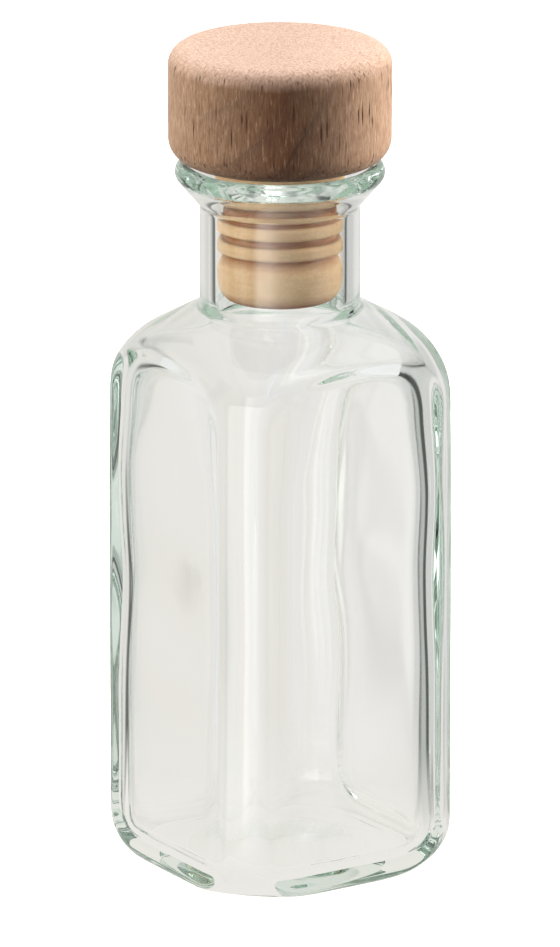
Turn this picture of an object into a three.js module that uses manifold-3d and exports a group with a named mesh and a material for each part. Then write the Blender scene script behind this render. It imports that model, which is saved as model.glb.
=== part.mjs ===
// A square apothecary bottle of clear glass with a wooden-headed T-stopper.
// Millimetres, +Z up. The bottle stands on z = 0 and its axis is the Z axis.
import * as THREE from 'three';
import Module from 'manifold-3d';

const wasm = await Module();
wasm.setup();
const { Manifold, Mesh: SolidMesh } = wasm;

// ---- driving dimensions -------------------------------------------------

// body of the bottle
const BODY_ACROSS_FLATS = 39.1;
const BODY_CORNER_CUT = 4.1;
const BASE_EDGE_RADIUS = 2.6;
const HEEL_RADIUS = 7.3;
const STRAIGHT_HEIGHT = 69.0;

// shoulder: a dome, then a cone up to a small fillet at the neck
const SHOULDER_RADIUS = 10.9;
const SHOULDER_SLOPE_DEG = 29;
const NECK_FILLET = 1.8;

// neck and flared lip; the neck is measured from its foot to the lip's top
const NECK_LENGTH = 20.9;
const BORE = 18.5;
const NECK_WALL = 2.2;
const LIP_OVERHANG = 3.5;
const LIP_EDGE_RADIUS = 1.5;
const LIP_FLARE_DEG = 50;
const LIP_FILLET = 1.2;
const FUNNEL_DEPTH = 5.2;
const FUNNEL_WIDENING = 4.0;

// glass thickness
const WALL = 2.3;
const SHOULDER_WALL = 2.5;
const CORNER_WALL = 2.8;
const BASE_THICKNESS = 4.6;
const INNER_HEEL_RADIUS = 6.0;
const INNER_CORNER_CUT = 4.8;

// push-up under the base
const STANDING_RING = 5.3;
const PUSH_UP_HEIGHT = 1.5;

// stopper head
const HEAD_OVERHANG = 0.95;
const HEAD_HEIGHT = 16.5;
const HEAD_TOP_RADIUS = 2.6;
const HEAD_BOTTOM_RADIUS = 3.3;
const SEAT_GAP = 0.3;

// stopper shank
const SHANK_LENGTH = 20.1;
const FIN_CLEARANCE = 0.3;
const COLLAR_CLEARANCE = 0.1;
const COLLAR_HEIGHT = 3.8;
const FIRST_GROOVE = 1.25;
const FIN_HEIGHT = 1.9;
const GROOVE_HEIGHT = 1.02;
const GROOVE_DEPTH = 1.15;
const FIN_COUNT = 3;
const BULB_TIP_INSET = 2.3;

// spigot of the shank, glued into a blind bore in the head
const SPIGOT_DIAMETER = 10.0;
const SPIGOT_LENGTH = 9.0;
const GLUE_FILM = 0.4;
const GLUE_GAP = 0.3;

// roundness of the facets
const ROUND_STEPS = 60;

// ---- derived dimensions -------------------------------------------------

const HALF = BODY_ACROSS_FLATS / 2;
const CORNER_RADIUS = Math.hypot(HALF, HALF - BODY_CORNER_CUT);
const SHOULDER_SLOPE = THREE.MathUtils.degToRad(SHOULDER_SLOPE_DEG);
const LIP_FLARE = THREE.MathUtils.degToRad(LIP_FLARE_DEG);
const NECK_RADIUS = BORE / 2 + NECK_WALL;
const LIP_RADIUS = NECK_RADIUS + LIP_OVERHANG;
const NECK_FOOT = STRAIGHT_HEIGHT + shoulderRise(CORNER_RADIUS, SHOULDER_RADIUS, NECK_RADIUS);
const BOTTLE_HEIGHT = NECK_FOOT + NECK_LENGTH;
const LIP_CREST = BOTTLE_HEIGHT - LIP_EDGE_RADIUS;
const FUNNEL_RADIUS = BORE / 2 + FUNNEL_WIDENING;
const PUSH_UP_RADIUS = HALF - STANDING_RING;
const HEAD_RADIUS = LIP_RADIUS + HEAD_OVERHANG;
const HEAD_BASE = BOTTLE_HEIGHT + SEAT_GAP;
const FIN_RADIUS = BORE / 2 - FIN_CLEARANCE;
const COLLAR_RADIUS = BORE / 2 - COLLAR_CLEARANCE;
const GROOVE_RADIUS = FIN_RADIUS - GROOVE_DEPTH;

// Height gained from the foot of the dome to where its slope meets the neck.
function shoulderRise(outer, dome, neck) {
  const side = Math.PI / 2 - SHOULDER_SLOPE;
  const run = outer - dome * (1 - Math.cos(side)) - neck;
  return dome * Math.sin(side) + run * Math.tan(SHOULDER_SLOPE);
}

// ---- outline helpers ----------------------------------------------------

// Points (radius, height) on an arc; angles in radians, 0 points outward.
function arc(radius, height, size, from, to, steps) {
  const points = [];
  for (let i = 0; i <= steps; i += 1) {
    const t = from + ((to - from) * i) / steps;
    points.push([radius + size * Math.cos(t), height + size * Math.sin(t)]);
  }
  return points;
}

// A dome arc, a straight slope that leaves it tangentially, and the fillet
// that turns the slope into a vertical wall of the given radius.
function shoulder(outer, dome, dropZ, wallRadius, fillet) {
  const side = Math.PI / 2 - SHOULDER_SLOPE;
  const start = arc(outer - dome, dropZ, dome, 0, side, 7);
  const [endR, endZ] = start[start.length - 1];
  const turn = wallRadius + fillet;
  const meetR = turn - fillet * Math.cos(side);
  const meetZ = endZ + (endR - meetR) * Math.tan(SHOULDER_SLOPE);
  const centreZ = meetZ + fillet * Math.sin(side);
  return [...start, ...arc(turn, centreZ, fillet, Math.PI + side, Math.PI, 4)];
}

// Flared lip: fillet from the neck, straight flare, rounded edge.
function lipOutside() {
  const tilt = Math.PI / 2 - LIP_FLARE;
  const edgeR = LIP_RADIUS - LIP_EDGE_RADIUS;
  const touchR = edgeR + LIP_EDGE_RADIUS * Math.cos(tilt);
  const touchZ = LIP_CREST - LIP_EDGE_RADIUS * Math.sin(tilt);
  const turn = NECK_RADIUS + LIP_FILLET;
  const meetR = turn - LIP_FILLET * Math.cos(tilt);
  const meetZ = touchZ - (touchR - meetR) * Math.tan(LIP_FLARE);
  const centreZ = meetZ - LIP_FILLET * Math.sin(tilt);
  return [
    ...arc(turn, centreZ, LIP_FILLET, Math.PI, Math.PI - tilt, 3),
    ...arc(edgeR, LIP_CREST, LIP_EDGE_RADIUS, -tilt, Math.PI / 2, 8),
  ];
}

// Concave funnel from the crest of the lip down to the bore.
function funnel() {
  const points = [];
  for (let i = 0; i <= 6; i += 1) {
    const t = i / 6;
    const r = BORE / 2 + FUNNEL_WIDENING * Math.pow(1 - t, 2.2);
    points.push([r, BOTTLE_HEIGHT - 0.25 - FUNNEL_DEPTH * t]);
  }
  return points;
}

function lathe(points, steps = ROUND_STEPS) {
  const outline = points.map(([r, z]) => new THREE.Vector2(Math.max(r, 0), z));
  const shape = new THREE.LatheGeometry(outline, steps);
  shape.rotateX(Math.PI / 2);
  return toSolid(shape);
}

// ---- solids -------------------------------------------------------------

// Welds a three.js geometry and hands it to the boolean library.
function toSolid(geometry) {
  const flat = geometry.index ? geometry.toNonIndexed() : geometry;
  const raw = flat.getAttribute('position').array;
  const seen = new Map();
  const vertices = [];
  const corners = [];
  for (let i = 0; i < raw.length; i += 3) {
    const key = [raw[i], raw[i + 1], raw[i + 2]].map((v) => Math.round(v * 1e4)).join();
    if (!seen.has(key)) {
      seen.set(key, vertices.length / 3);
      vertices.push(raw[i], raw[i + 1], raw[i + 2]);
    }
    corners.push(seen.get(key));
  }
  const faces = [];
  for (let i = 0; i < corners.length; i += 3) {
    const [a, b, c] = corners.slice(i, i + 3);
    if (a !== b && b !== c && c !== a) faces.push(a, b, c);
  }
  const solid = Manifold.ofMesh(new SolidMesh({
    numProp: 3,
    vertProperties: new Float32Array(vertices),
    triVerts: new Uint32Array(faces),
  }));
  return solid;
}

function toGeometry(solid) {
  const mesh = solid.getMesh();
  const geometry = new THREE.BufferGeometry();
  const positions = new THREE.BufferAttribute(new Float32Array(mesh.vertProperties), 3);
  geometry.setAttribute('position', positions);
  geometry.setIndex(new THREE.BufferAttribute(new Uint32Array(mesh.triVerts), 1));
  geometry.computeVertexNormals();
  return geometry;
}

// An upright slab between two walls, with rounded lower edges.
function slab(half, bottom, edge, top) {
  const shape = new THREE.Shape();
  shape.moveTo(-half, top);
  shape.lineTo(-half, bottom + edge);
  shape.absarc(-half + edge, bottom + edge, edge, Math.PI, 1.5 * Math.PI, false);
  shape.lineTo(half - edge, bottom);
  shape.absarc(half - edge, bottom + edge, edge, 1.5 * Math.PI, 2 * Math.PI, false);
  shape.lineTo(half, top);
  const depth = 4 * half;
  const body = new THREE.ExtrudeGeometry(shape, { depth, bevelEnabled: false, curveSegments: 4 });
  body.translate(0, 0, -depth / 2);
  body.rotateX(Math.PI / 2);
  return body;
}

// The square plan with cut corners: two crossed slabs and a diagonal post.
function squarePlan(half, cut, bottom, edge, top) {
  const along = toSolid(slab(half, bottom, edge, top));
  const across = toSolid(slab(half, bottom, edge, top).rotateZ(Math.PI / 2));
  const reach = (2 * half - cut) / Math.SQRT2;
  const post = new THREE.BoxGeometry(2 * reach, 2 * reach, 2 * (top - bottom));
  post.rotateZ(Math.PI / 4);
  return along.intersect(across).intersect(toSolid(post));
}

function outsideOfBottle() {
  const outline = [
    [0, 0],
    ...arc(CORNER_RADIUS - HEEL_RADIUS, HEEL_RADIUS, HEEL_RADIUS, -Math.PI / 2, 0, 6),
    ...shoulder(CORNER_RADIUS, SHOULDER_RADIUS, STRAIGHT_HEIGHT, NECK_RADIUS, NECK_FILLET),
    ...lipOutside(),
    [0, BOTTLE_HEIGHT],
  ];
  const plan = squarePlan(HALF, BODY_CORNER_CUT, 0, BASE_EDGE_RADIUS, BOTTLE_HEIGHT + 5);
  return lathe(outline).intersect(plan);
}

function insideOfBottle() {
  const corner = CORNER_RADIUS - CORNER_WALL;
  const dome = SHOULDER_RADIUS - SHOULDER_WALL;
  const heel = BASE_THICKNESS + INNER_HEEL_RADIUS;
  const drop = NECK_FOOT - SHOULDER_WALL - shoulderRise(corner, dome, BORE / 2);
  const outline = [
    [0, BASE_THICKNESS + 0.6],
    [corner * 0.3, BASE_THICKNESS + 0.5],
    ...arc(corner - INNER_HEEL_RADIUS, heel, INNER_HEEL_RADIUS, -Math.PI / 2, 0, 5),
    ...shoulder(corner, dome, drop, BORE / 2, NECK_FILLET),
    ...funnel().reverse(),
    [FUNNEL_RADIUS, BOTTLE_HEIGHT + 1],
    [0, BOTTLE_HEIGHT + 1],
  ];
  const plan = squarePlan(HALF - WALL, INNER_CORNER_CUT, BASE_THICKNESS, BASE_EDGE_RADIUS,
    BOTTLE_HEIGHT + 5);
  return lathe(outline).intersect(plan);
}

// A shallow dish pressed into the underside.
function pushUp() {
  const outline = [[0, -1], [PUSH_UP_RADIUS, -1], [PUSH_UP_RADIUS, 0]];
  for (let i = 1; i <= 5; i += 1) {
    const t = (i * Math.PI) / 10;
    outline.push([PUSH_UP_RADIUS * Math.cos(t), PUSH_UP_HEIGHT * Math.sin(t)]);
  }
  return lathe(outline);
}

function bottleSolid() {
  return outsideOfBottle().subtract(insideOfBottle()).subtract(pushUp());
}

function headSolid() {
  const side = HEAD_RADIUS;
  const boreR = SPIGOT_DIAMETER / 2 + GLUE_GAP * 2 + GLUE_FILM;
  const depth = SPIGOT_LENGTH + GLUE_GAP * 2 + GLUE_FILM;
  return lathe([
    [0, depth],
    [boreR, depth],
    [boreR, 0],
    ...arc(side - HEAD_BOTTOM_RADIUS, HEAD_BOTTOM_RADIUS, HEAD_BOTTOM_RADIUS,
      -Math.PI / 2, 0, 6),
    ...arc(side - HEAD_TOP_RADIUS, HEAD_HEIGHT - HEAD_TOP_RADIUS, HEAD_TOP_RADIUS,
      0, Math.PI / 2, 6),
    [0, HEAD_HEIGHT],
  ]);
}

// The cured adhesive between spigot and bore: a thin cup, open downward.
function glueSolid() {
  const inner = SPIGOT_DIAMETER / 2 + GLUE_GAP;
  const outer = inner + GLUE_FILM;
  const top = SPIGOT_LENGTH + GLUE_GAP;
  return lathe([
    [0, top],
    [inner, top],
    [inner, 0.4],
    [outer, 0.4],
    [outer, top + GLUE_FILM],
    [0, top + GLUE_FILM],
  ], 48);
}

// One rounded band round the shank, listed from its upper edge downward.
function band(radius, middle, height) {
  const edge = 0.45;
  const upper = arc(radius - edge, -(middle - height / 2 + edge), edge, Math.PI / 2, 0, 2);
  const lower = arc(radius - edge, -(middle + height / 2 - edge), edge, 0, -Math.PI / 2, 2);
  return [...upper, ...lower];
}

function shankSolid() {
  const outline = [
    [0, SPIGOT_LENGTH],
    [SPIGOT_DIAMETER / 2 - 0.6, SPIGOT_LENGTH],
    [SPIGOT_DIAMETER / 2, SPIGOT_LENGTH - 0.6],
    [SPIGOT_DIAMETER / 2, -SEAT_GAP],
    [COLLAR_RADIUS, -SEAT_GAP],
    [COLLAR_RADIUS, -(COLLAR_HEIGHT - 0.8)],
    [COLLAR_RADIUS - 0.35, -(COLLAR_HEIGHT - 0.2)],
    [GROOVE_RADIUS, -(COLLAR_HEIGHT + 0.15)],
  ];
  let top = COLLAR_HEIGHT + FIRST_GROOVE;
  for (let i = 0; i < FIN_COUNT; i += 1) {
    outline.push([GROOVE_RADIUS, -top]);
    outline.push(...band(FIN_RADIUS, top + FIN_HEIGHT / 2, FIN_HEIGHT));
    outline.push([GROOVE_RADIUS, -(top + FIN_HEIGHT)]);
    top += FIN_HEIGHT + GROOVE_HEIGHT;
  }
  const tip = FIN_RADIUS - BULB_TIP_INSET;
  for (let i = 0; i <= 8; i += 1) {
    const t = Math.sin((i * Math.PI) / 16);
    outline.push([tip + BULB_TIP_INSET * bulge(t), -(top + (SHANK_LENGTH - top) * t)]);
  }
  outline.push([0, -SHANK_LENGTH]);
  return lathe(outline.reverse());
}

// 0.75 where the bulb leaves the last groove, 1 at its widest, 0 at its tip.
function bulge(t) {
  const widest = 0.3;
  if (t < widest) return 1 - 0.25 * Math.pow(1 - t / widest, 2);
  return Math.sqrt(1 - Math.pow((t - widest) / (1 - widest), 2.4));
}

// ---- scene --------------------------------------------------------------

function part(name, solid, colour, roughness, metalness) {
  const material = new THREE.MeshStandardMaterial({ color: colour, roughness, metalness });
  const mesh = new THREE.Mesh(toGeometry(solid), material);
  mesh.name = name;
  return mesh;
}

const assembly = new THREE.Group();
assembly.name = 'apothecary_bottle';
assembly.add(part('glass_bottle', bottleSolid(), 0xdfe8e3, 0.05, 0));

const stopper = new THREE.Group();
stopper.name = 'stopper';
stopper.position.set(0, 0, HEAD_BASE);
stopper.add(part('stopper_head', headSolid(), 0xb48a68, 0.55, 0));
stopper.add(part('stopper_glue', glueSolid(), 0xd9cfae, 0.4, 0));
stopper.add(part('stopper_shank', shankSolid(), 0xe3d3ac, 0.5, 0));
assembly.add(stopper);

export default assembly;
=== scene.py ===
"""Looks of a stoppered apothecary bottle: clear glass, turned beech head, ribbed moulded shank.

Every visible surface is a parametric one: a profile swept round the Z axis, with its radius cut
by the planes of the square body where there are any. Profiles are in millimetres until a mesh is
made; materials and the studio are in metres. The frame's pieces fix where everything stands.
"""

import logging
import math
from collections.abc import Callable
from dataclasses import dataclass
from enum import Enum

import bpy
import numpy as np
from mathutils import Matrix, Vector


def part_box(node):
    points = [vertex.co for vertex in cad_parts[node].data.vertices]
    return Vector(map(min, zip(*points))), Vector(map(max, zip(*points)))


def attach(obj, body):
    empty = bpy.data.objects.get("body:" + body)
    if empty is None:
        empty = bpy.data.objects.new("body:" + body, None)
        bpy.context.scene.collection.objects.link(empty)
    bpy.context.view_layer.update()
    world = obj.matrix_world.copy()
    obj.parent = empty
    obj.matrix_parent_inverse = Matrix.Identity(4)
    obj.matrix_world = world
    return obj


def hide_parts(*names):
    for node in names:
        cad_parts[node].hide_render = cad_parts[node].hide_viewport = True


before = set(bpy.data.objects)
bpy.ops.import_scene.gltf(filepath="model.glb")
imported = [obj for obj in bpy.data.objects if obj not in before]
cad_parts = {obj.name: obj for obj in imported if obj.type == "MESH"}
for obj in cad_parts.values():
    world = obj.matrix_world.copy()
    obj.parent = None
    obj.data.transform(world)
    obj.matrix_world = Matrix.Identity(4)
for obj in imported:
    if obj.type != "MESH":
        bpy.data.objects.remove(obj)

LOG = logging.getLogger("bottle")
MM = 0.001

Triple = tuple[float, float, float]
Stop = tuple[float, Triple]
Socket = bpy.types.NodeSocket


class Body(Enum):
    """The two rigid bodies of the frame."""

    BOTTLE = "bottle"
    STOPPER = "stopper"


# ---------------------------------------------------------------- profiles


def arc(radius: float, height: float, size: float, start: float, end: float, count: int) -> np.ndarray:
    """Points of a circular arc; its degrees run from 0, away from the axis, to 90, straight up."""
    t = np.radians(np.linspace(start, end, count))
    return np.stack([radius + size * np.cos(t), height + size * np.sin(t)], axis=1)


def line(first: np.ndarray, last: np.ndarray, count: int) -> np.ndarray:
    """Evenly spaced points from first to last, without the two ends themselves."""
    t = np.linspace(0, 1, count + 2)[1:-1, None]
    return np.asarray(first) * (1 - t) + np.asarray(last) * t


def joined(*parts: np.ndarray | tuple | int) -> np.ndarray:
    """Parts of a profile in order, with straight runs of extra points filled in where asked.

    Args:
        parts: arrays of points, or an integer: that many points on the straight run between
            the array before it and the array after it.

    Returns:
        One array of (radius, height) rows.
    """
    out = []
    for index, part in enumerate(parts):
        if isinstance(part, int):
            before = np.atleast_2d(parts[index - 1])[-1]
            after = np.atleast_2d(parts[index + 1])[0]
            out.append(line(before, after, part))
        else:
            out.append(np.atleast_2d(np.asarray(part, float)))
    return np.concatenate(out)


def soft_min(a: np.ndarray, b: np.ndarray, blend: float | np.ndarray) -> np.ndarray:
    """The smaller of a and b, rounded where they cross: the polynomial smooth minimum."""
    # A weight runs from 0 to 1 across the blend, and the result is the weighted mean less
    # blend times weight times (1 - weight).
    weight = np.clip(0.5 + 0.5 * (b - a) / blend, 0, 1)
    return b * (1 - weight) + a * weight - blend * weight * (1 - weight)


def even_angles(count: int) -> np.ndarray:
    """Angles at equal steps round the axis, in radians."""
    return np.linspace(0, 2 * np.pi, count, endpoint=False)


def crowded_angles(count: int, marks: list[float], width: float, weight: float) -> np.ndarray:
    """Angles round the axis that crowd together near some marks.

    A density of 1, plus a bell of the given height and width at each mark, is summed up round
    the circle, and the angles are where that sum reaches equal shares.

    Args:
        count: number of angles.
        marks: angles to crowd round, in radians.
        width: width of each bell, in radians.
        weight: height of each bell.

    Returns:
        An array of count rising angles.
    """
    fine = even_angles(8192)
    away = (fine[:, None] - np.asarray(marks)[None, :] + np.pi) % (2 * np.pi) - np.pi
    total = np.cumsum(1 + weight * np.exp(-((away / width) ** 2)).sum(axis=1))
    shares = (np.arange(count) + 0.5) / count * total[-1]
    return np.interp(shares, total, fine)


def fade(value: np.ndarray, start: float, length: float) -> np.ndarray:
    """Rises in a straight line from 0 at start to 1 a length further on; a negative one falls."""
    return np.clip((value - start) / length, 0, 1)


# ---------------------------------------------------------------- meshes


def swept_mesh(name: str, radius: np.ndarray, height: np.ndarray, angles: np.ndarray) -> bpy.types.Object:
    """One closed surface from a grid of radii over (profile point, angle).

    The first and last profile points lie on the axis and each becomes a single pole vertex. Rows
    between them are rings of quads, and the rings close round the axis.

    Args:
        name: name of the object.
        radius: array (points, angles) in millimetres; its first and last rows are ignored.
        height: array of the same shape, in millimetres.
        angles: array of angles in radians.

    Returns:
        The Blender object, linked to the scene, smooth-shaded, in metres.
    """
    rings, count = radius.shape[0] - 2, len(angles)
    r, z = radius[1:-1], height[1:-1]
    grid = np.stack([r * np.cos(angles), r * np.sin(angles), z], axis=2).reshape(-1, 3)
    poles = np.array([[0, 0, height[0].mean()], [0, 0, height[-1].mean()]])
    points = np.concatenate([grid, poles]) * MM
    ring, spoke = np.meshgrid(np.arange(rings - 1), np.arange(count), indexing="ij")
    here, after = ring * count + spoke, ring * count + (spoke + 1) % count
    quads = np.stack([here, after, after + count, here + count], axis=2).reshape(-1, 4)
    j = np.arange(count)
    k = (j + 1) % count
    low, high, top = rings * count, rings * count + 1, (rings - 1) * count
    fan_low = np.stack([np.full(count, low), k, j], axis=1)
    fan_high = np.stack([np.full(count, high), top + j, top + k], axis=1)
    mesh = bpy.data.meshes.new(name)
    mesh.from_pydata(points.tolist(), [], quads.tolist() + fan_low.tolist() + fan_high.tolist())
    mesh.polygons.foreach_set("use_smooth", np.ones(len(mesh.polygons), bool))
    mesh.update()
    piece = bpy.data.objects.new(name, mesh)
    bpy.context.scene.collection.objects.link(piece)
    LOG.info("%s: %d vertices, %d faces", name, len(mesh.vertices), len(mesh.polygons))
    return piece


def dressed(
    piece: bpy.types.Object, material: bpy.types.Material, body: Body, node: str
) -> None:
    """Gives a piece its material, parents it to the body it rides on, and hides the frame's node that it
    stands for.

    Args:
        piece: the finished object.
        material: its finish.
        body: the rigid body it moves with.
        node: the frame's node that it replaces.
    """
    piece.data.materials.append(material)
    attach(piece, body.value)
    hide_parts(node)


# ---------------------------------------------------------------- materials


class Nodes:
    """A short way to write a node tree: add a node with its settings, then link sockets."""

    def __init__(self, name: str) -> None:
        """Starts a material with nothing but an output and Object coordinates.

        Args:
            name: the material's name.
        """
        self.material = bpy.data.materials.new(name)
        self.material.use_nodes = True
        self.tree = self.material.node_tree
        self.tree.nodes.clear()
        self.output = self.add("ShaderNodeOutputMaterial")
        self.coords = self.add("ShaderNodeTexCoord").outputs["Object"]

    def add(self, kind: str, settings: dict | None = None, **sockets: object) -> bpy.types.Node:
        """Adds a node.

        Args:
            kind: the node's type.
            settings: its properties by name.
            sockets: its inputs by name, as constants or linked outputs, with _ for a space.

        Returns:
            The node.
        """
        node = self.tree.nodes.new(kind)
        for key, value in (settings or {}).items():
            setattr(node, key, value)
        for key, value in sockets.items():
            self.plug(node, key.replace("_", " "), value)
        return node

    def plug(self, node: bpy.types.Node, key: str | int, value: object) -> None:
        """Sets one input to a constant or to another node's output.

        Args:
            node: the node.
            key: the input's name or number.
            value: a constant or a linked output.
        """
        socket = node.inputs[key]
        if isinstance(value, Socket):
            self.tree.links.new(value, socket)
        else:
            socket.default_value = value

    def stretched(self, scale: Triple, turn: Triple = (0, 0, 0), shift: Triple = (0, 0, 0)) -> Socket:
        """Object coordinates scaled, turned and shifted.

        Args:
            scale: factor along each axis.
            turn: rotation in radians.
            shift: location in metres.

        Returns:
            The vector output.
        """
        node = self.add("ShaderNodeMapping", Vector=self.coords)
        node.inputs["Scale"].default_value = scale
        node.inputs["Rotation"].default_value = turn
        node.inputs["Location"].default_value = shift
        return node.outputs["Vector"]

    def noise(
        self, vector: Socket, scale: float, detail: float, roughness: float, distortion: float = 0.0
    ) -> Socket:
        """Noise from 0 to 1 round 0.5.

        Args:
            vector: where it is read.
            scale: cells per metre.
            detail: number of octaves.
            roughness: strength of each octave against the one before.
            distortion: how far the noise is bent by itself.

        Returns:
            The value output.
        """
        sockets = {"Vector": vector, "Scale": scale, "Detail": detail}
        node = self.add("ShaderNodeTexNoise", **sockets, Roughness=roughness, Distortion=distortion)
        return node.outputs[0]

    def ramp(self, factor: Socket, *stops: Stop) -> Socket:
        """A colour ramp.

        Args:
            factor: the value it reads.
            stops: pairs of position and colour.

        Returns:
            The colour output.
        """
        node = self.add("ShaderNodeValToRGB", Fac=factor)
        elements = node.color_ramp.elements
        while len(elements) < len(stops):
            elements.new(0.5)
        for element, (position, colour) in zip(elements, stops, strict=True):
            element.position = position
            element.color = (*colour, 1)
        return node.outputs["Color"]

    def span(
        self, value: Socket, low: float, high: float, to_low: float = 0.0, to_high: float = 1.0
    ) -> Socket:
        """Maps one range of values to another in a straight line, clamped.

        Args:
            value: the value it reads.
            low: start of the range read.
            high: end of the range read.
            to_low: the result at low.
            to_high: the result at high.

        Returns:
            The value output.
        """
        node = self.add("ShaderNodeMapRange", Value=value)
        for index, constant in zip((1, 2, 3, 4), (low, high, to_low, to_high), strict=True):
            node.inputs[index].default_value = constant
        return node.outputs[0]

    def mix(
        self, factor: Socket, first: Socket | Triple, second: Socket | Triple, mode: str = "MIX"
    ) -> Socket:
        """Mixes two colours.

        Args:
            factor: share of the second.
            first: a linked output or an (r, g, b).
            second: a linked output or an (r, g, b).
            mode: the blend type.

        Returns:
            The colour output.
        """
        node = self.add("ShaderNodeMix", {"data_type": "RGBA", "blend_type": mode})
        for index, value in ((0, factor), (6, first), (7, second)):
            self.plug(node, index, (*value, 1) if isinstance(value, tuple) else value)
        return node.outputs[2]

    def math(self, kind: str, first: Socket | float, second: Socket | float) -> Socket:
        """One arithmetic step on two values.

        Args:
            kind: the operation.
            first: a linked output or a number.
            second: a linked output or a number.

        Returns:
            The value output.
        """
        node = self.add("ShaderNodeMath", {"operation": kind})
        self.plug(node, 0, first)
        self.plug(node, 1, second)
        return node.outputs[0]

    def vector_math(self, kind: str, first: Socket, second: Triple | None = None) -> bpy.types.Node:
        """One step on a vector.

        Args:
            kind: the operation.
            first: the vector it reads.
            second: a constant vector, if the operation takes one.

        Returns:
            The node, whose outputs are "Vector" and "Value".
        """
        node = self.add("ShaderNodeVectorMath", {"operation": kind})
        self.plug(node, 0, first)
        if second is not None:
            node.inputs[1].default_value = second
        return node

    def from_axis(self, vector: Socket) -> Socket:
        """Distance from the Z axis: the length of the vector with its height taken out."""
        flat = self.vector_math("MULTIPLY", vector, (1, 1, 0))
        return self.vector_math("LENGTH", flat.outputs["Vector"]).outputs["Value"]

    def axis(self, vector: Socket, letter: str) -> Socket:
        """One coordinate of a vector."""
        return self.add("ShaderNodeSeparateXYZ", Vector=vector).outputs[letter]

    def bump(self, height: Socket, depth: float, strength: float, under: Socket | None = None) -> Socket:
        """A bump.

        Args:
            height: the value it follows.
            depth: its full depth in millimetres, negative for hollows.
            strength: share of it that shows.
            under: another normal that it lies on.

        Returns:
            The normal output.
        """
        node = self.add("ShaderNodeBump", Strength=strength, Height=height, Distance=depth * MM)
        if under is not None:
            self.tree.links.new(under, node.inputs["Normal"])
        return node.outputs["Normal"]

    def show(self, shader: Socket) -> bpy.types.Material:
        """Links a shader to the output and returns the material."""
        self.tree.links.new(shader, self.output.inputs["Surface"])
        return self.material

    def principled(self, **sockets: object) -> Socket:
        """The Principled shader's output."""
        return self.add("ShaderNodeBsdfPrincipled", **sockets).outputs[0]

    def either(self, factor: Socket, first: Socket, second: Socket) -> Socket:
        """Mixes two shaders.

        Args:
            factor: share of the second.
            first: the first shader.
            second: the second shader.

        Returns:
            The shader output.
        """
        node = self.add("ShaderNodeMixShader")
        for index, value in enumerate((factor, first, second)):
            self.plug(node, index, value)
        return node.outputs[0]


@dataclass(frozen=True)
class ClearGlass:
    """Container glass: colourless in a thin wall, green along an edge."""

    ior: float = 1.52
    polish: float = 0.0
    smear: float = 0.02
    depth_of_colour: float = 11.0
    edge_colour: Triple = (0.44, 0.69, 0.55)
    cool_tint: Triple = (0.985, 0.995, 0.99)
    warm_tint: Triple = (0.995, 0.998, 0.992)
    ripple_depth: float = 0.05

    def build(self) -> bpy.types.Material:
        """Makes the glass, with faint smears, ripples and absorption inside.

        Returns:
            The material.
        """
        n = Nodes("clear_glass")
        patches = n.noise(n.stretched((1, 1, 0.35)), 45, 3, 0.6)
        fine = n.noise(n.coords, 900, 2, 0.5)
        smear = n.math("MULTIPLY", n.span(patches, 0.52, 0.75), n.span(fine, 0.35, 0.75))
        rough = n.span(smear, 0, 1, self.polish, self.smear)
        tint = n.ramp(patches, (0.3, self.cool_tint), (0.7, self.warm_tint))
        ripple = n.noise(n.stretched((1, 1, 0.55)), 70, 2, 0.4)
        inside = n.add("ShaderNodeVolumeAbsorption", Density=self.depth_of_colour)
        inside.inputs["Color"].default_value = (*self.edge_colour, 1)
        n.tree.links.new(inside.outputs[0], n.output.inputs["Volume"])
        glass = n.principled(
            Base_Color=tint, Roughness=rough, IOR=self.ior, Transmission_Weight=1.0,
            Normal=n.bump(ripple, self.ripple_depth, 0.6),
        )
        return n.show(glass)


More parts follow.
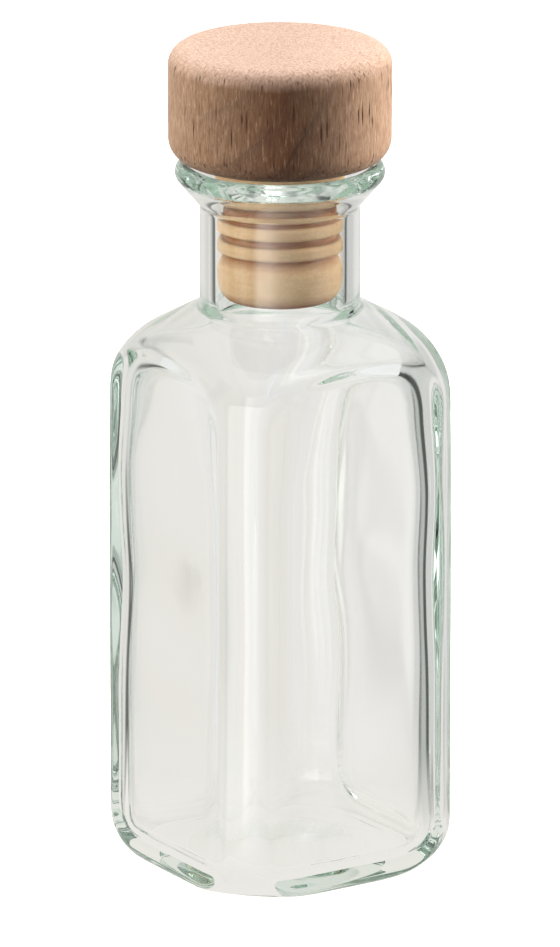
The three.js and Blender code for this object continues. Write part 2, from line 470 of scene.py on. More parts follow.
@dataclass(frozen=True)
class TurnedBeech:
    """Beech with growth rings about a leaning pith and short dark pores, with painted light: two sides
    and the top painted paler as if lit.
    """

    top: float
    pith: tuple[float, float] = (0.011, 0.021)
    lean: tuple[float, float] = (0.22, -0.3)
    rings_per_metre: float = 330.0
    # Painted light: the side facing this direction and the side facing away are painted paler, as if lit
    # by the side lamps.
    painted_light_side: Triple = (0.843, -0.537, 0.0)
    right_painted_light: Triple = (0.6, 0.41, 0.28)
    left_painted_light: Triple = (0.46, 0.31, 0.2)
    end_grain_and_painted_top_light: Triple = (0.62, 0.46, 0.37)
    # Partly painted light: the end grain on top, painted paler as if lit from above.
    clouded: Triple = (0.15, 0.066, 0.027)
    fibre_shade: Triple = (0.36, 0.22, 0.14)
    fibre_light: Triple = (0.62, 0.42, 0.27)
    pore: Triple = (0.04, 0.014, 0.006)
    pores_per_metre: float = 1600.0
    ring_stops: tuple[Stop, ...] = (
        (0.0, (0.12, 0.05, 0.02)),
        (0.3, (0.155, 0.07, 0.029)),
        (0.85, (0.1, 0.04, 0.016)),
        (1.0, (0.04, 0.014, 0.005)),
    )

    def figure(self, n: Nodes, cloud: Socket, end: Socket) -> Socket:
        """The wood's broad colours: rings and clouds, and painted light: the two sides painted paler as
        if lit from the side, and the end grain on top painted paler as if lit from above.

        Args:
            n: the material's nodes.
            cloud: slow noise that blurs every border.
            end: height, stirred a little by the cloud.

        Returns:
            The colour output.
        """
        warp = n.noise(n.stretched((1, 1, 0.4)), 55, 2, 0.5)
        reach = n.from_axis(n.stretched((1, 1, 1), (*self.lean, 0), (*self.pith, 0)))
        rings = n.math("MULTIPLY", reach, self.rings_per_metre)
        rings = n.math("ADD", rings, n.math("MULTIPLY", warp, 1.6))
        body = n.ramp(n.math("FRACT", rings, 0.0), *self.ring_stops)
        body = n.mix(n.span(cloud, 0.35, 0.7), body, self.clouded)
        # Painted light: the side towards the right lamp and the opposite side are painted paler, as if
        # lit.
        side = n.vector_math("DOT_PRODUCT", n.coords, self.painted_light_side).outputs["Value"]
        pale = n.math("ADD", side, n.math("MULTIPLY", cloud, 0.004))
        body = n.mix(n.span(pale, 0.003, 0.016, 0.0, 0.9), body, self.right_painted_light)
        body = n.mix(n.span(pale, -0.014, 0.001, 0.85, 0.0), body, self.left_painted_light)
        # Partly painted light: the top is end grain, painted paler as if lit from above.
        share = n.span(end, self.top - 0.0018, self.top + 0.0008, 0.0, 0.8)
        return n.mix(share, body, self.end_grain_and_painted_top_light)

    def pores(self, n: Nodes, end: Socket) -> Socket:
        """Short upright pores, chosen in drifts, with fewer of them on the end grain.

        Args:
            n: the material's nodes.
            end: height, stirred a little by the cloud.

        Returns:
            A value output, 1 in a pore.
        """
        place = n.stretched((1, 1, 0.1), (0.05, 0.03, 0))
        cells = n.add("ShaderNodeTexVoronoi", {"feature": "F1"}, Vector=place, Scale=self.pores_per_metre)
        spot = n.span(cells.outputs["Distance"], 0.12, 0.34, 1.0, 0.0)
        drift = n.span(n.noise(n.stretched((1, 1, 0.3)), 900, 1, 0.5), 0.38, 0.52)
        fewer = n.span(end, self.top - 0.001, self.top, 1.0, 0.4)
        return n.math("MULTIPLY", spot, n.math("MULTIPLY", drift, fewer))

    def build(self) -> bpy.types.Material:
        """Makes the wood: figure, pores, fibres, and a satin turned surface.

        Returns:
            The material.
        """
        n = Nodes("turned_beech")
        cloud = n.noise(n.stretched((1, 1, 0.5)), 90, 3, 0.55)
        end = n.math("ADD", n.axis(n.coords, "Z"), n.math("MULTIPLY", cloud, 0.002))
        body = self.figure(n, cloud, end)
        fibres = n.noise(n.stretched((1, 1, 0.16)), 3300, 4, 0.7, 0.5)
        body = n.mix(n.span(fibres, 0.32, 0.66, 0.0, 0.7), body, self.fibre_shade, "MULTIPLY")
        body = n.mix(n.span(fibres, 0.3, 0.42, 0.25, 0.0), body, self.fibre_light)
        pore = self.pores(n, end)
        colour = n.mix(n.math("MULTIPLY", pore, 0.9), body, self.pore)
        rough = n.math("ADD", n.span(fibres, 0.3, 0.7, 0.42, 0.56), n.math("MULTIPLY", pore, 0.2))
        grain = n.bump(fibres, 0.03, 0.5)
        wood = n.principled(
            Base_Color=colour, Roughness=rough, Normal=n.bump(pore, -0.07, 0.8, grain),
            Specular_IOR_Level=0.25, Coat_Weight=0.04, Coat_Roughness=0.35,
        )
        return n.show(wood)


@dataclass(frozen=True)
class CreamMoulding:
    """Foamed elastomer: cream, speckled, a little translucent at thin edges."""

    cream: Triple = (0.56, 0.39, 0.215)
    tan: Triple = (0.43, 0.275, 0.14)
    speck: Triple = (0.5, 0.34, 0.2)
    # Painted shade for the grooves.
    groove_painted_shade: Triple = (0.22, 0.07, 0.012)
    streak: Triple = (0.68, 0.52, 0.33)
    groove: float = 0.0079
    rim: float = 0.0087

    def build(self) -> bpy.types.Material:
        """Makes the shank's finish: foam speckle, streaks, and painted shade that makes the grooves
        darker and warmer.

        Returns:
            The material.
        """
        n = Nodes("cream_moulding")
        drift = n.noise(n.stretched((1, 1, 0.6)), 120, 2, 0.5)
        speckle = n.noise(n.coords, 3200, 3, 0.65)
        flow = n.noise(n.stretched((0.4, 0.4, 2.6)), 600, 3, 0.6)
        base = n.mix(n.span(drift, 0.35, 0.7), self.cream, self.tan)
        base = n.mix(n.span(drift, 0.3, 0.75, 0.65, 0.1), base, self.cream)
        base = n.mix(n.span(speckle, 0.35, 0.75, 0.0, 0.35), base, self.speck, "MULTIPLY")
        # Painted shade: the grooves are found by their distance from the axis and painted darker and
        # warmer, as if shaded by the bands above them.
        depth = n.span(n.from_axis(n.coords), self.groove, self.rim, 0.95, 0.0)
        base = n.mix(depth, base, self.groove_painted_shade)
        base = n.mix(n.span(flow, 0.45, 0.8, 0.0, 0.3), base, self.streak)
        foam = n.principled(
            Base_Color=base, Roughness=n.span(speckle, 0.3, 0.7, 0.48, 0.66),
            Subsurface_Weight=0.2, Subsurface_Scale=0.0012, Specular_IOR_Level=0.3,
            Normal=n.bump(speckle, 0.03, 0.6),
        )
        return n.show(foam)


@dataclass(frozen=True)
class CuredGlue:
    """A thin film of yellowed adhesive."""

    thick: Triple = (0.6, 0.5, 0.27)
    thin: Triple = (0.78, 0.7, 0.46)

    def build(self) -> bpy.types.Material:
        """Makes the glue, clouded and faintly bubbled.

        Returns:
            The material.
        """
        n = Nodes("cured_glue")
        cloud = n.noise(n.coords, 400, 3, 0.6)
        colour = n.ramp(cloud, (0.3, self.thick), (0.7, self.thin))
        rough = n.span(cloud, 0.3, 0.7, 0.2, 0.4)
        return n.show(n.principled(Base_Color=colour, Roughness=rough, Normal=n.bump(cloud, 0.05, 0.5)))


@dataclass(frozen=True)
class PaleFloor:
    """A seamless pale sweep: white to the eye, a warm light grey where glass looks at it."""

    seen: float = 0.96
    mottle: float = 0.01
    through_glass: Triple = (0.87, 0.835, 0.8)
    bounced: Triple = (0.24, 0.23, 0.22)
    near: float = 0.2
    far: float = 1.5
    far_glow: float = 0.3

    def build(self) -> bpy.types.Material:
        """Makes a faintly mottled matt white that meets the sky far out and glows for glass.

        Returns:
            The material.
        """
        n = Nodes("pale_floor")
        cloud = n.noise(n.coords, 3, 2, 0.5)
        white = n.ramp(cloud, (0.3, (self.seen - self.mottle,) * 3), (0.7, (self.seen,) * 3))
        path = n.add("ShaderNodeLightPath")
        glow = n.mix(path.outputs["Is Diffuse Ray"], self.through_glass, self.bounced)
        hidden = n.add("ShaderNodeEmission", Color=glow, Strength=1.0)
        reach = n.vector_math("LENGTH", n.coords).outputs["Value"]
        shown = n.principled(
            Base_Color=white, Roughness=1.0, Specular_IOR_Level=0.0, Emission_Color=(1, 1, 1, 1),
            Emission_Strength=n.span(reach, self.near, self.far, 0.0, self.far_glow),
        )
        return n.show(n.either(path.outputs["Is Camera Ray"], hidden.outputs[0], shown))


@dataclass(frozen=True)
class LitTent:
    """Cloth of a tent round the object, which glows by compass direction.

    Directions are degrees from straight behind the object, positive to the first viewer's right.
    Glass looks straight back through its flat walls and far sideways where it bends light, so
    pale stretches fill the faces and narrow dark ones draw the upright edges.
    """

    strength: float = 3.0
    plain: Triple = (0.87, 0.835, 0.8)
    calm: float = 0.027
    full: float = 0.08
    stops: tuple[Stop, ...] = (
        (-180, (1.15, 1.14, 1.12)),
        (-162, (2.7, 2.68, 2.65)),
        (-148, (2.7, 2.68, 2.65)),
        (-139, (0.4, 0.4, 0.39)),
        (-134, (0.35, 0.35, 0.34)),
        (-130, (0.8, 0.785, 0.76)),
        (-115, (0.8, 0.785, 0.76)),
        (-111, (0.2, 0.2, 0.2)),
        (-92, (0.2, 0.21, 0.2)),
        (-87, (0.86, 0.84, 0.81)),
        (-60, (0.92, 0.9, 0.865)),
        (-57, (0.05, 0.055, 0.05)),
        (-53, (0.05, 0.055, 0.05)),
        (-46, (0.55, 0.54, 0.52)),
        (-40, (0.78, 0.76, 0.735)),
        (-25, (0.78, 0.76, 0.735)),
        (-11, (0.835, 0.785, 0.745)),
        (13, (0.9, 0.865, 0.865)),
        (30, (0.7, 0.69, 0.675)),
        (50, (0.64, 0.635, 0.62)),
        (55, (0.03, 0.035, 0.03)),
        (66, (0.03, 0.035, 0.03)),
        (72, (0.46, 0.48, 0.46)),
        (90, (0.46, 0.47, 0.46)),
        (95, (0.8, 0.785, 0.76)),
        (124, (0.85, 0.84, 0.82)),
        (140, (0.36, 0.37, 0.36)),
        (158, (0.5, 0.5, 0.5)),
        (180, (1.15, 1.14, 1.12)),
    )

    def share(self, colour: Triple) -> Triple:
        """A colour as a share of the tent's full strength."""
        return tuple(part / self.strength for part in colour)

    def build(self) -> bpy.types.Material:
        """Makes the cloth: coloured by direction far out, and plain close to the object.

        Returns:
            The material.
        """
        n = Nodes("lit_tent")
        turn = n.math("ARCTAN2", n.axis(n.coords, "X"), n.axis(n.coords, "Y"))
        stops = [((degrees + 180) / 360, self.share(colour)) for degrees, colour in self.stops]
        by_direction = n.ramp(n.span(turn, -math.pi, math.pi), *stops)
        reach = n.vector_math("LENGTH", n.coords).outputs["Value"]
        colour = n.mix(n.span(reach, self.calm, self.full), self.share(self.plain), by_direction)
        return n.show(n.add("ShaderNodeEmission", Color=colour, Strength=self.strength).outputs[0])


# ---------------------------------------------------------------- the bottle


@dataclass
class SquarePlan:
    """Four wide planes and four corner planes round the axis, as distances from it."""

    half: float
    corner_cut: float
    bottom: float
    edge: float
    blend: float

    def limit(self, height: np.ndarray, angles: np.ndarray) -> np.ndarray:
        """Distance to the planes along each angle, at each height.

        The wide planes lean in below bottom + edge on a circular arc of radius edge. Along an
        angle, a plane lies at its distance over the cosine of the angle to its normal.

        Args:
            height: column of heights, shape (points, 1).
            angles: row of angles, shape (angles,).

        Returns:
            An array (points, angles).
        """
        depth = np.clip(self.bottom + self.edge - height, 0, self.edge)
        near = self.half - self.edge + np.sqrt(self.edge**2 - depth**2)
        turn = (angles + np.pi / 4) % (np.pi / 2) - np.pi / 4
        wide = near / np.cos(turn)
        reach = (2 * self.half - self.corner_cut) / math.sqrt(2)
        corner = reach / np.cos(np.pi / 4 - np.abs(turn))
        return soft_min(wide, np.broadcast_to(corner, wide.shape), self.blend)

    def marks(self) -> list[float]:
        """Angles of the eight upright edges, in radians."""
        edge = math.atan2(self.half - self.corner_cut, self.half)
        return [quarter * math.pi / 2 + side * edge for quarter in range(4) for side in (-1, 1)]


@dataclass
class Bottle:
    """The glass bottle: an outside, an inside and the lip between them, in one surface."""

    height: float
    half: float
    corner_cut: float = 4.1
    heel: float = 7.3
    base_edge: float = 2.6
    edge_blend: float = 1.0
    straight: float = 69.0
    dome: float = 10.9
    slope: float = 29.0
    fillet: float = 1.8
    neck: float = 11.45
    bore: float = 9.25
    lip: float = 14.95
    lip_edge: float = 1.5
    flare: float = 50.0
    lip_fillet: float = 1.2
    crest: float = 0.35
    crest_drop: float = 0.12
    funnel_depth: float = 5.2
    funnel_power: float = 2.2
    wall: float = 2.3
    corner_wall: float = 2.8
    shoulder_wall: float = 2.5
    floor: float = 2.6
    inner_heel: float = 5.5
    inner_edge: float = 3.0
    inner_cut: float = 3.4
    inner_blend: float = 3.4
    push_up: float = 1.5
    ring: float = 14.2
    outer_softness: tuple[float, float] = (0.8, 1.5)
    inner_softness: tuple[float, float] = (1.6, 5.5)
    softens: tuple[float, float] = (56.0, 16.0)
    dent: float = 0.03
    settled: float = 0.16
    wave_height: float = 42.0
    wave_width: float = 8.5
    wave_side: float = 147.0
    spokes: int = 296
    crowding: tuple[float, float] = (0.07, 3.2)

    @property
    def corner(self) -> float:
        """Radius of the body's upright edges."""
        return math.hypot(self.half, self.half - self.corner_cut)

    def shoulder(
        self, outer: float, dome: float, start: float, neck: float
    ) -> tuple[np.ndarray, np.ndarray]:
        """Dome and fillet of one wall's shoulder; the straight between them is tangent to both.

        Args:
            outer: radius of the wall at the foot of the dome.
            dome: radius of the dome's arc.
            start: height of the foot of the dome.
            neck: radius of the neck's wall.

        Returns:
            The dome's points and the fillet's points, from below upward.
        """
        side = 90 - self.slope
        tan = math.tan(math.radians(self.slope))
        lower = arc(outer - dome, start, dome, 0, side, 26)
        turn = neck + self.fillet
        meet = turn - self.fillet * math.cos(math.radians(side))
        centre = lower[-1][1] + (lower[-1][0] - meet) * tan + self.fillet * math.sin(math.radians(side))
        return lower, arc(turn, centre, self.fillet, 180 + side, 180, 12)

    def rise(self, outer: float, dome: float, neck: float) -> float:
        """Height from the foot of a dome to where its slope would meet the neck's wall.

        Args:
            outer: radius of the wall at the foot of the dome.
            dome: radius of the dome's arc.
            neck: radius of the neck's wall.

        Returns:
            The height.
        """
        side = math.radians(90 - self.slope)
        run = outer - dome * (1 - math.cos(side)) - neck
        return dome * math.sin(side) + run * math.tan(math.radians(self.slope))

    def lip_outside(self) -> tuple[np.ndarray, np.ndarray]:
        """Fillet under the flare, and the rounded edge up to the crest; the flare joins them.

        Returns:
            The fillet's points and the edge's points, from below upward.
        """
        tilt = 90 - self.flare
        t = math.radians(tilt)
        edge, crest = self.lip - self.lip_edge, self.height - self.lip_edge
        touch = (edge + self.lip_edge * math.cos(t), crest - self.lip_edge * math.sin(t))
        turn = self.neck + self.lip_fillet
        meet = turn - self.lip_fillet * math.cos(t)
        foot = touch[1] - (touch[0] - meet) * math.tan(math.radians(self.flare))
        low = arc(turn, foot - self.lip_fillet * math.sin(t), self.lip_fillet, 180, 180 - tilt, 10)
        return low, arc(edge, crest, self.lip_edge, -tilt, 90, 20)

    def outside(self) -> np.ndarray:
        """Profile of the outside, from the centre of the push-up to the crest of the lip.

        The push-up is half a cosine wave over the ring that the bottle stands on.

        Returns:
            An array of (radius, height) rows.
        """
        r = np.linspace(0, self.ring, 18)
        dish = np.stack([r, self.push_up * (0.5 + 0.5 * np.cos(np.pi * r / self.ring))], axis=1)
        heel = arc(self.corner - self.heel, self.heel, self.heel, -90, 0, 26)
        dome, fillet = self.shoulder(self.corner, self.dome, self.straight, self.neck)
        low, edge = self.lip_outside()
        return joined(dish, 3, heel, 44, dome, 7, fillet, 12, low, 5, edge)

    def inside(self) -> np.ndarray:
        """Profile of the inside, from the crest of the lip down to the centre of the floor.

        The mouth narrows to the bore as a power curve. The floor's hump is half a cosine wave.

        Returns:
            An array of (radius, height) rows.
        """
        t = np.linspace(0, 1, 18)
        widening = self.lip - self.lip_edge - self.crest - self.bore
        mouth = self.bore + widening * (1 - t) ** self.funnel_power
        funnel = np.stack([mouth, self.height - self.crest_drop - self.funnel_depth * t], axis=1)
        corner, dome = self.corner - self.corner_wall, self.dome - self.shoulder_wall
        foot = self.straight + self.rise(self.corner, self.dome, self.neck) - self.shoulder_wall
        start = foot - self.rise(corner, dome, self.bore)
        lower, fillet = self.shoulder(corner, dome, start, self.bore)
        heel = arc(corner - self.inner_heel, self.floor + self.inner_heel, self.inner_heel, 0, -90, 20)
        r = np.linspace(heel[-1][0], 0, 14)[1:]
        hump = self.floor + self.push_up * (0.5 + 0.5 * np.cos(np.pi * r / heel[-1][0]))
        floor = np.stack([r, hump], axis=1)
        return joined(funnel, 12, fillet[::-1], 6, lower[::-1], 46, heel, floor)

    def softness(self, height: np.ndarray, widths: tuple[float, float]) -> np.ndarray:
        """Width of the blend of planes with profile: narrow in the body, wide at the shoulder."""
        share = fade(height, *self.softens)
        return widths[0] + (widths[1] - widths[0]) * share**2 * (3 - 2 * share)

    def settle(self, height: np.ndarray, angles: np.ndarray) -> np.ndarray:
        """How much thicker the wall is than its plain shape, in millimetres.

        A broad inward wave sits near mid-height and is strongest on one side. Two slow ripples
        of unlike length run round and along the wall. All of it fades out at floor and shoulder.

        Args:
            height: column of heights, shape (points, 1).
            angles: row of angles, shape (angles,).

        Returns:
            An array (points, angles).
        """
        strong = 0.45 + 0.5 * np.clip(np.cos(angles - math.radians(self.wave_side)), 0, 1)
        above = height - self.wave_height - 2 * np.cos(angles)
        wave = strong * np.exp(-((above / self.wave_width) ** 2))
        slow = 0.07 * np.sin(height / 5.1 + 2 * np.sin(angles + 0.7)) * np.cos(2 * angles + 0.4)
        quick = 0.015 * np.sin(height / 2.1 + 3 * angles + 1.1 * np.sin(height / 7.0))
        inside = fade(height, self.floor + 6, 12) * fade(height, 78, -12)
        return (wave + slow + quick + self.settled) * inside

    def dents(self, height: np.ndarray, angles: np.ndarray) -> np.ndarray:
        """Depth of the outside's dents: a sine that winds round, faded at base and shoulder."""
        depth = self.dent * (0.5 + 0.5 * np.sin(height / 6.3 + 2 * angles))
        return depth * fade(height, 0, 20) * fade(height, 76, -10)

    def wall_side(
        self, profile: np.ndarray, plan: SquarePlan, widths: tuple[float, float],
        less: Callable[[np.ndarray, np.ndarray], np.ndarray], angles: np.ndarray,
    ) -> np.ndarray:
        """Radii of one side of the wall: its profile cut by a plan, less what the glass is off by.

        Args:
            profile: rows of (radius, height).
            plan: the planes that cut it.
            widths: width of the blend in the body and at the shoulder.
            less: gives what to take off from heights and angles.
            angles: array of angles.

        Returns:
            An array (points, angles).
        """
        radius, height = profile[:, :1], profile[:, 1:]
        cut = soft_min(radius, plan.limit(height, angles), self.softness(height, widths))
        return np.maximum(cut - less(height, angles), 0)

    def make(self, material: bpy.types.Material) -> None:
        """Builds the bottle.

        Args:
            material: its glass.
        """
        outer, inner = self.outside(), self.inside()
        plan = SquarePlan(self.half, self.corner_cut, 0, self.base_edge, self.edge_blend)
        hollow = SquarePlan(
            self.half - self.wall, self.inner_cut, self.floor, self.inner_edge, self.inner_blend
        )
        angles = crowded_angles(self.spokes, plan.marks(), *self.crowding)
        sides = (
            self.wall_side(outer, plan, self.outer_softness, self.dents, angles),
            self.wall_side(inner, hollow, self.inner_softness, self.settle, angles),
        )
        radius = np.concatenate(sides)
        height = np.broadcast_to(np.concatenate([outer, inner])[:, 1:], radius.shape)
        piece = swept_mesh("bottle_glass", radius, height, angles)
        piece.visible_shadow = False
        dressed(piece, material, Body.BOTTLE, "glass_bottle")


# ---------------------------------------------------------------- the stopper


@dataclass
class Stopper:
    """The T-stopper: turned head, ribbed shank with its spigot, and the glue between them."""

    seat: float
    head: float
    head_height: float
    top_edge: float = 2.6
    low_edge: float = 3.3
    out_of_round: float = 0.06
    fin: float = 8.95
    fin_edge: float = 0.6
    fin_height: float = 1.9
    collar: float = 9.15
    collar_height: float = 3.8
    collar_edge: float = 0.9
    collar_rim: float = 0.25
    first_groove: float = 1.25
    groove_height: float = 1.02
    groove_depth: float = 1.15
    lamellae: int = 3
    length: float = 20.1
    tip_inset: float = 2.3
    gap: float = 0.3
    spigot: float = 5.0
    spigot_length: float = 9.0
    spigot_edge: float = 0.6
    film: float = 0.4
    spokes: int = 192

    @property
    def root(self) -> float:
        """Radius at the bottom of the grooves."""
        return self.fin - self.groove_depth

    def lathe(self, name: str, profile: np.ndarray, wobble: float = 0.0) -> bpy.types.Object:
        """Sweeps a profile, given from the stopper's seat upward, round the axis.

        The wobble is two waves of unlike count round the axis that drift with height, and it
        grows from nothing near the axis.

        Args:
            name: name of the object.
            profile: rows of (radius, height).
            wobble: how far out of round it is, in millimetres.

        Returns:
            The object.
        """
        angles = even_angles(self.spokes)
        radius = np.broadcast_to(profile[:, :1], (len(profile), self.spokes))
        height = np.broadcast_to(profile[:, 1:], radius.shape) + self.seat
        drift = np.sin(2 * angles + profile[:, 1:] / 7) + np.sin(3 * angles - profile[:, 1:] / 5)
        inward = wobble * (drift - 2) / 4 * np.clip(radius / self.head * 1.5 - 0.6, 0, 1)
        return swept_mesh(name, radius + inward, height, angles)

    def make_head(self, material: bpy.types.Material) -> None:
        """Builds the wooden head, with the blind bore that takes the spigot.

        Args:
            material: its wood.
        """
        bore = self.spigot + 2 * self.gap + self.film
        depth = self.spigot_length + 2 * self.gap + self.film
        chamfer = 0.3
        low = arc(self.head - self.low_edge, self.low_edge, self.low_edge, -90, 0, 18)
        high = arc(self.head - self.top_edge, self.head_height - self.top_edge, self.top_edge, 0, 84, 16)
        r = np.linspace(high[-1][0], 0, 16)[1:]
        crown = high[-1][1] + (self.head_height - high[-1][1]) * (1 - (r / high[-1][0]) ** 2)
        profile = joined(
            (0, depth), 3, (bore - chamfer, depth), (bore, depth - chamfer), 6,
            (bore, chamfer), (bore + chamfer, 0), 3,
            low, 16, high, np.stack([r, crown], axis=1),
        )
        piece = self.lathe("head_beech", profile, self.out_of_round)
        dressed(piece, material, Body.STOPPER, "stopper_head")

    def band(self, top: float) -> np.ndarray:
        """One lamella: a rounded band that stands out of the groove.

        Args:
            top: depth of its upper edge below the seat.

        Returns:
            Its points, from its lower edge up.
        """
        edge, low = self.fin_edge, -(top + self.fin_height)
        foot, toe = 0.12, (0.18, 0.03)
        return joined(
            (self.root, low - foot), (self.root + toe[0], low + toe[1]), 1,
            arc(self.fin - edge, low + edge, edge, -80, 0, 8), 1,
            arc(self.fin - edge, -top - edge, edge, 0, 80, 8), 1,
            (self.root + toe[0], -top - toe[1]), (self.root, -top + foot),
        )

    def bulb(self, start: float) -> np.ndarray:
        """The shank's round end: it swells from a waist, and closes as a superellipse.

        Args:
            start: depth of its upper end below the seat.

        Returns:
            Its points, from the tip up.
        """
        waist, roundness = 0.3, 2.4
        t = np.sin(np.linspace(np.pi / 2, 0, 30))
        late = np.clip((t - waist) / (1 - waist), 0, 1)
        swell = np.where(t < waist, 1 - 0.3 * (1 - t / waist) ** 2, np.sqrt(1 - late**roundness))
        depth = start + (self.length - start) * t
        return np.stack([self.fin - self.tip_inset * (1 - swell), -depth], axis=1)

    def make_shank(self, material: bpy.types.Material) -> None:
        """Builds the shank, listed from the tip of the bulb up to the end of the spigot.

        Args:
            material: its elastomer.
        """
        pitch = self.fin_height + self.groove_height
        tops = [self.collar_height + self.first_groove + i * pitch for i in range(self.lamellae)]
        base, edge, rim = -self.collar_height, self.collar_edge, self.collar_rim
        collar = joined(
            (self.root, base - 0.25), (self.root + 0.2, base - 0.05),
            arc(self.collar - edge, base + edge, edge, -78, 0, 10), 5,
            arc(self.collar - rim, -self.gap - rim, rim, 0, 90, 5),
        )
        spigot = joined(
            (self.spigot, -self.gap), 8, (self.spigot, self.spigot_length - self.spigot_edge),
            (self.spigot - self.spigot_edge, self.spigot_length),
        )
        profile = joined(
            (0, -self.length), 6, self.bulb(tops[-1] + pitch),
            *(self.band(top) for top in reversed(tops)), collar,
            4, spigot, 4, (0, self.spigot_length),
        )
        piece = self.lathe("shank_moulding", profile)
        dressed(piece, material, Body.STOPPER, "stopper_shank")

    def make_glue(self, material: bpy.types.Material) -> None:
        """Builds the adhesive film: a thin cup over the spigot, open downward.

        Args:
            material: its glue.
        """
        inner, outer = self.spigot + self.gap, self.spigot + self.gap + self.film
        foot, top = 0.4, self.spigot_length + self.gap
        profile = joined(
            (0, top), 4, (inner, top), 8, (inner, foot), (outer, foot), 8,
            (outer, top + self.film), 4, (0, top + self.film),
        )
        piece = self.lathe("glue_film", profile)
        dressed(piece, material, Body.STOPPER, "stopper_glue")


# ---------------------------------------------------------------- the studio


@dataclass(frozen=True)
class Softbox:
    """One soft square lamp, which lights matt surfaces and isn't seen in glass."""

    name: str
    place: Triple
    aim: Triple
    size: float
    power: float
    colour: Triple = (1.0, 1.0, 1.0)

    def make(self) -> None:
        """Puts the lamp in the scene."""
        data = bpy.data.lights.new(self.name, "AREA")
        data.shape = "SQUARE"
        data.size = self.size
        data.energy = self.power
        data.color = self.colour
        lamp = bpy.data.objects.new(self.name, data)
        lamp.location = self.place
        lamp.rotation_euler = (Vector(self.aim) - Vector(self.place)).to_track_quat("-Z", "Y").to_euler()
        bpy.context.scene.collection.objects.link(lamp)
        lamp.visible_camera = lamp.visible_glossy = lamp.visible_transmission = False


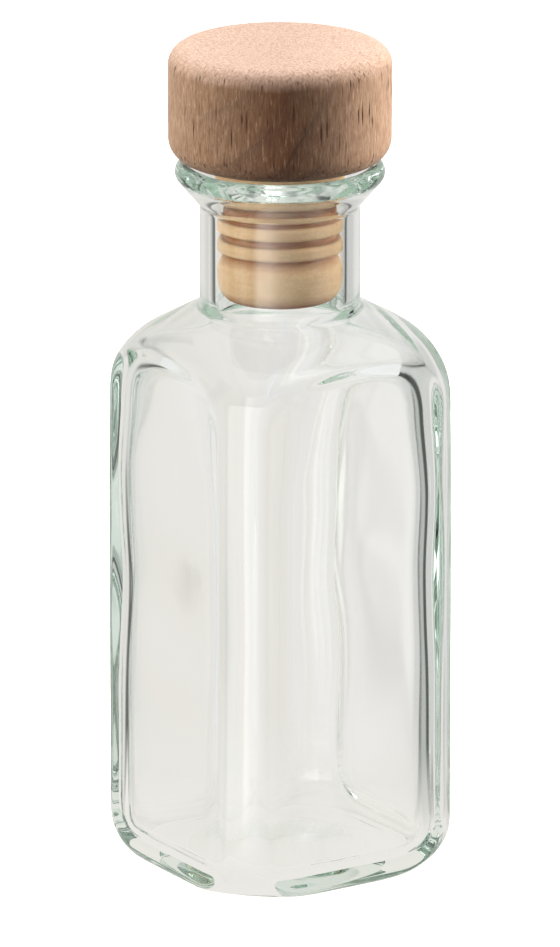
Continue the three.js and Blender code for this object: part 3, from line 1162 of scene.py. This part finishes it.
@dataclass
class Studio:
    """Floor, sky, lamps, the lit tent that glass shows, and the camera."""

    azimuth: float = -32.6
    elevation: float = 16.6
    distance: float = 1.6
    scale: float = 7.0
    target: Triple = (0.0, 0.0, 0.0575)
    long_side: int = 947
    sensor: float = 36.0
    bounces: int = 24
    floor_half: float = 60.0
    glow_span: tuple[float, float] = (0.1, 0.95)
    viewer_glow: tuple[float, float] = (0.78, 0.12)
    right_glow: tuple[float, float] = (0.0, 0.1)
    left_glow: tuple[float, float] = (0.0, 0.05)
    top_glow: tuple[float, float] = (0.0, 0.12)
    tent_radius: float = 0.3
    tent_height: float = 0.26
    tent_hole: float = 0.01
    tent_lift: float = 0.0001
    tent_sides: int = 72
    lamps: tuple[Softbox, ...] = (
        Softbox("top_softbox", (0.1, 0.25, 0.9), (0, 0, 0.05), 0.7, 7.0, (1.0, 0.985, 0.97)),
        Softbox("right_softbox", (0.63, -0.2, 0.3), (0, 0, 0.08), 0.4, 8.5, (1.0, 0.97, 0.94)),
        Softbox("left_softbox", (-0.62, 0.15, 0.3), (0, 0, 0.08), 0.4, 5.5),
    )

    def place_prop(
        self, name: str, points: list, faces: list, material: bpy.types.Material
    ) -> bpy.types.Object:
        """Makes a mesh that is part of the stage and not of the object.

        Args:
            name: its name.
            points: its vertices in metres.
            faces: its faces.
            material: its finish.

        Returns:
            The object, linked to the scene.
        """
        mesh = bpy.data.meshes.new(name)
        mesh.from_pydata(points, [], faces)
        mesh.materials.append(material)
        piece = bpy.data.objects.new(name, mesh)
        bpy.context.scene.collection.objects.link(piece)
        return piece

    def floor(self) -> None:
        """A wide sweep that the object stands on."""
        size = self.floor_half
        corners = [(-size, -size, 0), (size, -size, 0), (size, size, 0), (-size, size, 0)]
        self.place_prop("floor", corners, [(0, 1, 2, 3)], PaleFloor().build())

    def tent(self) -> None:
        """A lit tent that only glass and reflections show: a disc on the floor and a round wall.

        It stands still, turned once so that its zero is straight behind the object from the
        first camera place. The disc's middle is closed with one polygon.
        """
        count = self.tent_sides
        angles = even_angles(count)
        ring = np.stack([np.cos(angles), np.sin(angles), np.zeros(count)], axis=1)
        low, high = self.tent_lift, self.tent_height
        steps = ((self.tent_hole, low), (self.tent_radius, low), (self.tent_radius, high))
        rows = np.concatenate([ring * radius + (0, 0, height) for radius, height in steps])
        j = np.arange(count)
        k = (j + 1) % count
        band = np.stack([j, k, k + count, j + count], axis=1)
        faces = np.concatenate([band, band + count]).tolist() + [list(range(count))]
        piece = self.place_prop("tent", rows.tolist(), faces, LitTent().build())
        piece.rotation_euler = (0, 0, math.radians(self.azimuth))
        piece.visible_camera = piece.visible_diffuse = piece.visible_shadow = False

    def sky(self) -> None:
        """Soft surroundings: white to the camera, and to the rest dimmer towards the viewer.

        Each term goes smoothly from one strength to another with the cosine between a direction
        and its own, and the terms are added up: the viewer's side, right, left and overhead.
        """
        world = bpy.data.worlds.new("studio")
        bpy.context.scene.world = world
        world.use_nodes = True
        tree = world.node_tree
        coords = tree.nodes.new("ShaderNodeTexCoord").outputs["Generated"]
        a = math.radians(self.azimuth)
        path = tree.nodes.new("ShaderNodeLightPath")
        glow = None
        for direction, strengths in (
            ((math.sin(a), -math.cos(a), 0), self.viewer_glow),
            ((math.cos(a), math.sin(a), 0.1), self.right_glow),
            ((-math.cos(a), -math.sin(a), 0.1), self.left_glow),
            ((0, 0, 1), self.top_glow),
        ):
            toward = tree.nodes.new("ShaderNodeVectorMath")
            toward.operation = "DOT_PRODUCT"
            tree.links.new(coords, toward.inputs[0])
            toward.inputs[1].default_value = direction
            share = tree.nodes.new("ShaderNodeMapRange")
            share.interpolation_type = "SMOOTHSTEP"
            for index, value in zip((1, 2, 3, 4), (*self.glow_span, *strengths), strict=True):
                share.inputs[index].default_value = value
            tree.links.new(toward.outputs["Value"], share.inputs[0])
            if glow is None:
                glow = share.outputs[0]
                continue
            total = tree.nodes.new("ShaderNodeMath")
            tree.links.new(glow, total.inputs[0])
            tree.links.new(share.outputs[0], total.inputs[1])
            glow = total.outputs[0]
        strength = tree.nodes.new("ShaderNodeMath")
        strength.operation = "MAXIMUM"
        tree.links.new(path.outputs["Is Camera Ray"], strength.inputs[0])
        tree.links.new(glow, strength.inputs[1])
        back = tree.nodes["Background"]
        back.inputs["Color"].default_value = (1, 1, 1, 1)
        tree.links.new(strength.outputs[0], back.inputs["Strength"])

    def camera(self) -> None:
        """A long lens at the viewing angle; its focal length follows from the scale wanted."""
        data = bpy.data.cameras.new("camera")
        data.sensor_width = self.sensor
        data.lens = self.scale / MM * self.distance / self.long_side * self.sensor
        data.clip_end = 200
        a, e = math.radians(self.azimuth), math.radians(self.elevation)
        back = Vector((math.sin(a) * math.cos(e), -math.cos(a) * math.cos(e), math.sin(e)))
        camera = bpy.data.objects.new("camera", data)
        camera.rotation_mode = "QUATERNION"
        camera.location = Vector(self.target) + back * self.distance
        camera.rotation_quaternion = (-back).to_track_quat("-Z", "Y")
        bpy.context.scene.collection.objects.link(camera)
        bpy.context.scene.camera = camera

    def make(self) -> None:
        """Sets up the whole studio, with enough bounces for light to turn inside the glass."""
        self.floor()
        self.sky()
        for lamp in self.lamps:
            lamp.make()
        self.camera()
        self.tent()
        paths = bpy.context.scene.cycles
        paths.max_bounces = paths.glossy_bounces = paths.transmission_bounces = self.bounces
        view = bpy.context.scene.view_settings
        view.view_transform = "Standard"
        view.look = "None"


# ---------------------------------------------------------------- scene


def main() -> None:
    """Builds the pieces and the studio round the frame."""
    logging.basicConfig(level=logging.INFO, format="%(name)s: %(message)s")
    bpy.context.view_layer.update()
    _, bottle_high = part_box("glass_bottle")
    head_low, head_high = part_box("stopper_head")
    Bottle(height=bottle_high.z / MM, half=bottle_high.x / MM).make(ClearGlass().build())
    stopper = Stopper(
        seat=head_low.z / MM, head=head_high.x / MM, head_height=(head_high.z - head_low.z) / MM
    )
    stopper.make_head(TurnedBeech(top=head_high.z).build())
    stopper.make_shank(CreamMoulding().build())
    stopper.make_glue(CuredGlue().build())
    Studio().make()


if __name__ == "__main__":
    main()
